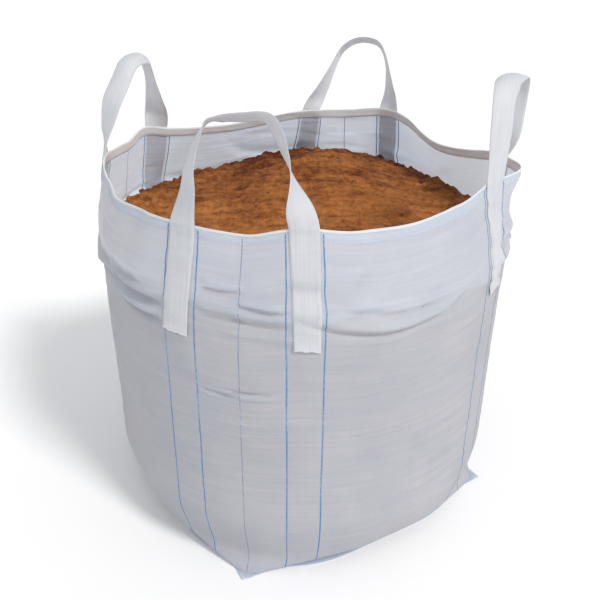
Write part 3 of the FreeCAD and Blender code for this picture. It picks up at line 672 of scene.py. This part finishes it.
def webbing(name, colour, shade):
    """Narrow woven polypropylene, thick and dull: cords a couple of mm apart run along it, picks cross
    them as a fine tooth, and only a little light comes through."""
    made = Finish(name)
    place = made.add("ShaderNodeUVMap", {"uv_map": "cloth"}).outputs["UV"]
    solid = made.add("ShaderNodeTexCoord").outputs["Object"]
    split = made.add("ShaderNodeSeparateXYZ", links={"Vector": place})
    cord_way = made.add("ShaderNodeVectorMath", {"operation": "MULTIPLY"}, {1: (6.0, 260.0, 1.0)},
                        {0: place}).outputs[0]
    cords = made.add("ShaderNodeTexNoise", {"noise_dimensions": "2D"},
                     {"Scale": 1.0, "Detail": 2.0, "Roughness": 0.6}, {"Vector": cord_way}).outputs[0]
    waves = made.add("ShaderNodeMath", {"operation": "SINE"}, None, {0: made.add(
        "ShaderNodeMath", {"operation": "MULTIPLY"}, {1: 2 * math.pi / 0.0024},
        {0: split.outputs["Y"]}).outputs[0]}).outputs[0]
    picks = made.add("ShaderNodeMath", {"operation": "SINE"}, None, {0: made.add(
        "ShaderNodeMath", {"operation": "MULTIPLY"}, {1: 2 * math.pi / 0.0030},
        {0: split.outputs["X"]}).outputs[0]}).outputs[0]
    cloudy = made.noise(solid, 9.0, 4.0, 0.6)
    tone = made.add("ShaderNodeMath", {"operation": "ADD"}, None, {
        0: made.add("ShaderNodeMath", {"operation": "MULTIPLY"}, {1: 0.5}, {0: cloudy}).outputs[0],
        1: made.add("ShaderNodeMath", {"operation": "MULTIPLY"}, {1: 0.5}, {0: cords}).outputs[0]}).outputs[0]
    ramp = made.ramp(tone, (0.34, shade), (0.60, colour))
    made.tree.links.new(ramp.outputs[0], made.shader.inputs["Base Color"])
    height = made.add("ShaderNodeMath", {"operation": "MULTIPLY_ADD"}, {1: 0.30},
                      {0: waves, 2: cords}).outputs[0]
    height = made.add("ShaderNodeMath", {"operation": "MULTIPLY_ADD"}, {1: 0.10},
                      {0: picks, 2: height}).outputs[0]
    bump = made.add("ShaderNodeBump", None, {"Strength": 0.5, "Distance": 0.0009}, {"Height": height})
    made.tree.links.new(bump.outputs[0], made.shader.inputs["Normal"])
    made.shader.inputs["Roughness"].default_value = 0.55
    made.shader.inputs["IOR"].default_value = 1.49
    made.shader.inputs["Sheen Weight"].default_value = 0.2
    made.shader.inputs["Sheen Roughness"].default_value = 0.5
    made.see_light_through(0.22, colour)
    return made.material


webbing_finish = webbing("polypropylene webbing, natural white", hexed("E4E6EA"), hexed("D6D9DE"))
loop_rings = {}
for seed, (corner_name, spec) in enumerate(LOOPS.items()):
    first, second = (sewn_leg(spec["corner"], sign, seed) for sign in (-1, 1))
    rings = np.concatenate([first, free_arch(first, second, spec, seed)[1:-1], second[::-1]])
    loop_rings[corner_name] = rings
    rows, around_ring = rings.shape[:2]
    faces, r, c = grid(rows, around_ring, closed=True)
    run = np.concatenate([[0], np.cumsum(np.linalg.norm(np.diff(rings.mean(1), axis=0), axis=1))])
    ring_uv = np.concatenate([RING_PLACE, RING_PLACE[:1]]) + WEBBING_WIDTH / 2
    uv = np.stack([run[r], ring_uv[c]], -1)
    # close the two raw ends
    span = np.arange(EDGE_COLUMNS - 1)
    cap = np.stack([span, span + 1, around_ring - 2 - span, around_ring - 1 - span], -1)
    faces = np.concatenate([faces, cap, cap[:, ::-1] + (rows - 1) * around_ring])
    uv = np.concatenate([uv, np.zeros((2 * len(cap), 4, 2))])
    strap = put_mesh("webbing_" + corner_name, rings, faces[:, ::-1], webbing_finish, uv[:, ::-1])
    first_face, second_face = (corner_name.split("_")[k] for k in (0, 1))
    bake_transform(strap)
    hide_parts("lift_loop_" + corner_name,
                "sewn_leg_%s_%s_face" % (corner_name, first_face),
                "sewn_leg_%s_%s_face" % (corner_name, second_face))


# ---- stitching -----------------------------------------------------------------------------------------
# Lockstitch in thick white polyester: one row holds the hem, and each leg is sewn with a long row beside
# both edges and three rows across at either end. Every stitch is a short, sunken, rounded bead of thread.
STITCH_PITCH, STITCH_LENGTH, THREAD_RADIUS = 0.0080, 0.0064, 0.0006
ROW_INSET = 0.010               # strap edge to its row
ROWS_FROM_END, ROWS_FROM_RIM = 0.016, 0.006
CROSS_ROW_GAP = 0.011
# the hem's thread shows on both faces: how far in, how far out, and how far above the fold's raw edge
HEM_ROW_IN, HEM_ROW_OUT, HEM_ROW_UP = -0.0044, 0.0006, 0.006


def node_maker(tree):
    """add() for a geometry tree: one node with its settings, values and links."""
    def add(kind, settings=None, values=None, links=None):
        made = tree.nodes.new(kind)
        for name, value in (settings or {}).items():
            setattr(made, name, value)
        for name, value in (values or {}).items():
            made.inputs[name].default_value = value
        for name, source in (links or {}).items():
            tree.links.new(source, made.inputs[name])
        return made
    return add


def sewing_tree():
    """Beads of thread along every edge path of a mesh."""
    tree = bpy.data.node_groups.new("sewing", "GeometryNodeTree")
    tree.interface.new_socket("Paths", in_out="INPUT", socket_type="NodeSocketGeometry")
    for name in ("Stitch Pitch", "Stitch Length", "Thread Radius"):
        tree.interface.new_socket(name, in_out="INPUT", socket_type="NodeSocketFloat")
    tree.interface.new_socket("Thread", in_out="INPUT", socket_type="NodeSocketMaterial")
    tree.interface.new_socket("Seed", in_out="INPUT", socket_type="NodeSocketInt")
    tree.interface.new_socket("Sewing", in_out="OUTPUT", socket_type="NodeSocketGeometry")
    add = node_maker(tree)
    inputs = add("NodeGroupInput").outputs
    curve = add("GeometryNodeMeshToCurve", links={"Mesh": inputs["Paths"]})
    spots = add("GeometryNodeCurveToPoints", {"mode": "LENGTH"},
                links={"Curve": curve.outputs[0], "Length": inputs["Stitch Pitch"]})
    bead = add("GeometryNodeMeshUVSphere", None, {"Segments": 6, "Rings": 5, "Radius": 1.0})
    half = add("ShaderNodeMath", {"operation": "MULTIPLY"}, {1: 0.5}, {0: inputs["Stitch Length"]})
    bead_size = add("ShaderNodeCombineXYZ", links={
        "X": inputs["Thread Radius"], "Y": inputs["Thread Radius"], "Z": half.outputs[0]})
    uneven = add("FunctionNodeRandomValue", {"data_type": "FLOAT"}, {2: 0.86, 3: 1.10},
                 {"Seed": inputs["Seed"]})
    scale = add("ShaderNodeVectorMath", {"operation": "SCALE"}, None,
                {0: bead_size.outputs[0], "Scale": uneven.outputs[1]})
    placed = add("GeometryNodeInstanceOnPoints", links={
        "Points": spots.outputs["Points"], "Instance": bead.outputs["Mesh"],
        "Rotation": spots.outputs["Rotation"], "Scale": scale.outputs[0]})
    real = add("GeometryNodeRealizeInstances", links={"Geometry": placed.outputs[0]})
    painted = add("GeometryNodeSetMaterial", links={
        "Geometry": real.outputs[0], "Material": inputs["Thread"]})
    tree.links.new(painted.outputs[0], add("NodeGroupOutput").inputs[0])
    return tree


def plain_mesh(name, source, tree, settings):
    """Run a geometry tree on an object and keep only the mesh it makes."""
    modifier = source.modifiers.new("made", "NODES")
    modifier.node_group = tree
    for item in tree.interface.items_tree:
        if item.in_out == "INPUT" and item.name in settings:
            modifier[item.identifier] = settings[item.name]
    scene.view_layers[0].update()
    evaluated = source.evaluated_get(bpy.context.evaluated_depsgraph_get())
    mesh = bpy.data.meshes.new_from_object(evaluated)
    source.modifiers.remove(modifier)
    mesh.name = name
    mesh.polygons.foreach_set("use_smooth", [True] * len(mesh.polygons))
    made = bpy.data.objects.new(name, mesh)
    scene.collection.objects.link(made)
    bpy.data.objects.remove(source)
    return made


def path_object(name, paths):
    """A mesh of loose edge paths."""
    points, edges = [], []
    for path in paths:
        first = len(points)
        points += [tuple(p) for p in path]
        edges += [(first + k, first + k + 1) for k in range(len(path) - 1)]
    mesh = bpy.data.meshes.new(name)
    mesh.from_pydata(points, edges, [])
    made = bpy.data.objects.new(name, mesh)
    scene.collection.objects.link(made)
    return made


thread = Finish("polyester sewing thread, white")
thread.shader.inputs["Base Color"].default_value = hexed("D9DBDE")
thread.shader.inputs["Roughness"].default_value = 0.5
thread.shader.inputs["Sheen Weight"].default_value = 0.3
sewing = sewing_tree()
stitch_settings = {"Stitch Pitch": STITCH_PITCH, "Stitch Length": STITCH_LENGTH,
                   "Thread Radius": THREAD_RADIUS, "Thread": thread.material, "Seed": 4}


def leg_rows(corner, sign):
    """The rows that hold one leg, as paths just proud of the webbing."""
    middle = corner / 4 + sign * BAND_FROM_CORNER / TUBE_GIRTH
    proud = ON_WALL + WEBBING_THICK + 0.0002
    low, high = 1 - (LEG_LENGTH - ROWS_FROM_END) / RIM_HEIGHT, 1 - ROWS_FROM_RIM / RIM_HEIGHT
    edge = WEBBING_WIDTH / 2 - ROW_INSET
    rise = np.linspace(low, high, 90)
    wander = 0.0008 * drift(np.full(90, 0.2), rise, 3, 14.0, 200 + corner * 2 + sign)
    paths = [cloth(middle + (place + wander) / TUBE_GIRTH, rise, proud) for place in (-edge, edge)]
    across = np.linspace(-edge, edge, 24)
    for number in range(3):
        for outermost, inwards in ((low, 1), (high, -1)):
            level = np.full(24, outermost + inwards * CROSS_ROW_GAP * number / RIM_HEIGHT)
            slope = 0.002 * inwards * across / edge / RIM_HEIGHT
            paths.append(cloth(middle + across / TUBE_GIRTH, level + slope, proud))
    return paths


for corner_name, spec in LOOPS.items():
    paths = leg_rows(spec["corner"], -1) + leg_rows(spec["corner"], 1)
    rows = plain_mesh("sewing_" + corner_name, path_object("rows", paths), sewing, stitch_settings)
    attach(rows, "bag")
    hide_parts("leg_stitching_" + corner_name)

all_round = np.linspace(0, 1, 1201)
hem_level = 1 - (HEM_INSIDE - HEM_ROW_UP) / RIM_HEIGHT
hem_paths = [cloth(all_round, hem_level, away) for away in (HEM_ROW_IN, HEM_ROW_OUT)]
hem_rows_sewn = plain_mesh("hem_sewing", path_object("hem", hem_paths), sewing, stitch_settings)
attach(hem_rows_sewn, "bag")
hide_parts("hem_stitching")


# ---- sand ----------------------------------------------------------------------------------------------
# Damp orange-brown building sand, tipped in and left in a low heap: raked looking runs where it slid,
# and darker clods pushed up against the far walls.
SAND_AT_WALL, SAND_PEAK = 0.824, 0.090
SAND_COLUMNS, SAND_RINGS, SAND_SKIRT = 420, 170, 40
SAND_CLEAR = 0.016             # between the load and the middle of the cloth, below its top edge
SAND_SETTLES = 0.0015          # the same where its top meets the cloth's inner face
# runs: each layer's depth, cells to the metre across it, how much shorter the cells are down it, and seed
RUNS = [(-0.0075, 16.0, 3.0, 46), (-0.0060, 34.0, 3.0, 52)]


def lumps(x, y, cells, seed):
    """Smooth random values from -1 to 1 over the plan, cells to the metre."""
    table = np.random.RandomState(seed).uniform(-1, 1, (128, 128))
    a, b = x * cells + 60, y * cells + 60
    ia, ib = np.floor(a).astype(int), np.floor(b).astype(int)
    ta, tb = a - ia, b - ib
    ta, tb = ta * ta * (3 - 2 * ta), tb * tb * (3 - 2 * tb)
    ia, ib, ja, jb = ia % 128, ib % 128, (ia + 1) % 128, (ib + 1) % 128
    return ((table[ia, ib] * (1 - ta) + table[ja, ib] * ta) * (1 - tb)
            + (table[ia, jb] * (1 - ta) + table[ja, jb] * ta) * tb)


def sand_height(x, y):
    """Top of the sand at a place in plan."""
    reach = np.hypot(x, y)
    heap = SAND_PEAK * np.exp(-(((x - 0.20) / 0.30) ** 2 + ((y - 0.20) / 0.30) ** 2))
    heap = heap + 0.030 * np.exp(-(((x + 0.10) / 0.40) ** 2 + ((y + 0.05) / 0.35) ** 2))
    broad = 0.010 * lumps(x, y, 4.0, 41) + 0.006 * lumps(x, y, 9.0, 42)
    # runs: ridges a few cm apart across the slope, bent by the broad shape
    warp_x = x + 0.05 * lumps(x, y, 3.0, 43)
    warp_y = y + 0.06 * lumps(x, y, 3.0, 44)
    lean = 0.866 * warp_y + 0.5 * warp_x
    cross = 0.866 * warp_x - 0.5 * warp_y
    runs = 0.0060 * lumps(lean * 4.0, cross, 9.0, 45)
    for depth, cells, drawn, seed in RUNS:
        runs = runs + depth * np.abs(lumps(lean * drawn, cross, cells, seed))
    rough = 0.0050 * np.abs(lumps(x, y, 30.0, 47)) + 0.0034 * lumps(x, y, 76.0, 48)
    far = step(0.34, 0.50, reach) * step(-0.30, 0.25, 0.5 * x + 0.866 * y)
    clods = far * (0.011 * np.abs(lumps(x, y, 24.0, 49)) + 0.008 * lumps(x, y, 60.0, 50))
    return SAND_AT_WALL + heap + broad + runs + rough + clods


sand_around = np.arange(SAND_COLUMNS) / SAND_COLUMNS
level = SAND_AT_WALL / rim_height(sand_around)
for _ in range(3):
    edge = cloth(sand_around, level, -CLOTH - SAND_SETTLES)
    level = sand_height(edge[:, 0], edge[:, 1]) / rim_height(sand_around)
edge = cloth(sand_around, level, -CLOTH - SAND_SETTLES)
share = np.linspace(0, 1, SAND_RINGS)[1:] ** 0.85
middle_x, middle_y = 0.02, 0.02
sand_x = middle_x + (edge[None, :, 0] - middle_x) * share[:, None]
sand_y = middle_y + (edge[None, :, 1] - middle_y) * share[:, None]
surface = np.stack([sand_x, sand_y, sand_height(sand_x, sand_y)], -1)
# below its top edge the load stays clear of the folds of the cloth that it fills
down = np.linspace(1, 0, SAND_SKIRT + 1)[1:, None]
skirt = cloth(sand_around[None, :], np.maximum(level[None, :] * down, 0.010), -SAND_CLEAR)
sand_points = np.concatenate([surface, skirt]).reshape(-1, 3)
sand_rows = SAND_RINGS - 1 + SAND_SKIRT
sand_quads = grid(sand_rows, SAND_COLUMNS, closed=True, flip=True)[0]
top = len(sand_points)
sand_points = np.concatenate([sand_points, [[middle_x, middle_y, float(sand_height(middle_x, middle_y))],
                                            [0, 0, float(skirt[-1, :, 2].mean())]]])
spin = np.arange(SAND_COLUMNS)
turned = (spin + 1) % SAND_COLUMNS
fan_top = np.stack([np.full(SAND_COLUMNS, top), spin, turned], -1)
bottom_row = (sand_rows - 1) * SAND_COLUMNS
fan_bottom = np.stack([np.full(SAND_COLUMNS, top + 1), bottom_row + turned, bottom_row + spin], -1)


def damp_sand():
    """Sharp sand, orange brown and matt: grains as speckle, crumbs and clods as soft bumps, paler dry
    streaks along the runs, and the colour drawn darker towards the far side."""
    made = Finish("damp building sand, orange brown")
    solid = made.add("ShaderNodeTexCoord").outputs["Object"]
    grains = made.noise(solid, 420.0, 4.0, 0.8)
    damp = made.noise(solid, 7.0, 6.0, 0.7)
    crumbs = made.noise(solid, 70.0, 5.0, 0.75)
    # streaks along the runs, where drier sand has slid over damp
    run_way = made.add("ShaderNodeMapping", {"vector_type": "TEXTURE"},
                       {"Rotation": (0, 0, math.radians(-30)), "Scale": (1 / 5.0, 1 / 34.0, 1 / 34.0)},
                       {"Vector": solid}).outputs[0]
    streaks = made.noise(run_way, 1.0, 5.0, 0.75)
    tone = made.add("ShaderNodeMath", {"operation": "MULTIPLY_ADD"}, {1: 0.35}, {
        0: damp, 2: made.add("ShaderNodeMath", {"operation": "MULTIPLY"}, {1: 0.25}, {0: crumbs}).outputs[0]})
    tone = made.add("ShaderNodeMath", {"operation": "MULTIPLY_ADD"}, {1: 0.40},
                    {0: streaks, 2: tone.outputs[0]}).outputs[0]
    # the sand's colour drawn darker towards the far walls
    outwards = made.add("ShaderNodeVectorMath", {"operation": "DOT_PRODUCT"}, {1: (0.5, 0.866, 0)},
                        {0: solid}).outputs["Value"]
    darker_far_side = made.add("ShaderNodeMapRange", None, {"From Min": 0.12, "From Max": 0.50, "To Min": 0.0,
                                                "To Max": 0.11}, {"Value": outwards}).outputs[0]
    tone = made.add("ShaderNodeMath", {"operation": "SUBTRACT"}, None, {0: tone, 1: darker_far_side})
    ramp = made.ramp(tone.outputs[0], (0.39, hexed("5E2A09")), (0.57, hexed("B8743A")))
    speck = made.add("ShaderNodeMapRange", None, {"From Min": 0.3, "From Max": 0.7, "To Min": 0.50,
                                                  "To Max": 1.42}, {"Value": grains}).outputs[0]
    coloured = made.add("ShaderNodeVectorMath", {"operation": "SCALE"}, None,
                        {0: ramp.outputs[0], "Scale": speck}).outputs[0]
    made.tree.links.new(coloured, made.shader.inputs["Base Color"])
    height = made.add("ShaderNodeMath", {"operation": "MULTIPLY_ADD"}, {1: 0.35},
                      {0: grains, 2: crumbs}).outputs[0]
    bump = made.add("ShaderNodeBump", None, {"Strength": 0.9, "Distance": 0.004},
                    {"Height": height})
    made.tree.links.new(bump.outputs[0], made.shader.inputs["Normal"])
    made.shader.inputs["Roughness"].default_value = 0.85
    made.shader.inputs["Specular IOR Level"].default_value = 0.3
    return made.material


sand_mesh = bpy.data.meshes.new("sand")
sand_mesh.from_pydata(sand_points.tolist(), [],
                      sand_quads.tolist() + fan_top.tolist() + fan_bottom.tolist())
sand_mesh.polygons.foreach_set("use_smooth", [True] * len(sand_mesh.polygons))
sand_mesh.materials.append(damp_sand())
sand = bpy.data.objects.new("sand_heap", sand_mesh)
scene.collection.objects.link(sand)
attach(sand, "bag")
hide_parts("sand_fill")


# ---- hidden base seam ----------------------------------------------------------------------------------
# Round its foot the tube turns in under the load and is chain stitched to the base. The bag stands on
# that seam, so its allowance and its thread keep the designed shapes and only take these finishes.
for node in ("base_seam_allowance", "base_seam_stitching"):
    piece = bpy.data.objects[node]
    piece.data.materials.clear()
    piece.data.materials.append(woven_cloth if node == "base_seam_allowance" else thread.material)


# ---- floor and light -----------------------------------------------------------------------------------
# A pale studio floor that runs out of view, a soft white surround that lifts every shadow, and one high,
# broad light from the front that shows the folds and the ribs.
floor_finish = Finish("pale studio floor")
floor_finish.shader.inputs["Base Color"].default_value = hexed("FAFAFA")
floor_finish.shader.inputs["Roughness"].default_value = 0.9
FLOOR_HALF = 40.0
SURROUND, HIGH_LIGHT, LIGHT_BREADTH = 0.72, 1.75, math.radians(12)
floor = put_mesh("floor", [(-FLOOR_HALF, -FLOOR_HALF, 0), (FLOOR_HALF, -FLOOR_HALF, 0),
                           (FLOOR_HALF, FLOOR_HALF, 0), (-FLOOR_HALF, FLOOR_HALF, 0)],
                 np.array([[0, 1, 2, 3]]), floor_finish.material)

world = bpy.data.worlds.new("white surround")
world.use_nodes = True
world.node_tree.nodes["Background"].inputs["Color"].default_value = hexed("FAFCFF")
world.node_tree.nodes["Background"].inputs["Strength"].default_value = SURROUND
scene.world = world

high_light = bpy.data.lights.new("high_light", "SUN")
high_light.energy, high_light.angle = HIGH_LIGHT, LIGHT_BREADTH
high_light.color = hexed("FFFCF8")[:3]
high = bpy.data.objects.new("high_light", high_light)
high.rotation_euler = (math.radians(40), math.radians(14), 0)
scene.collection.objects.link(high)
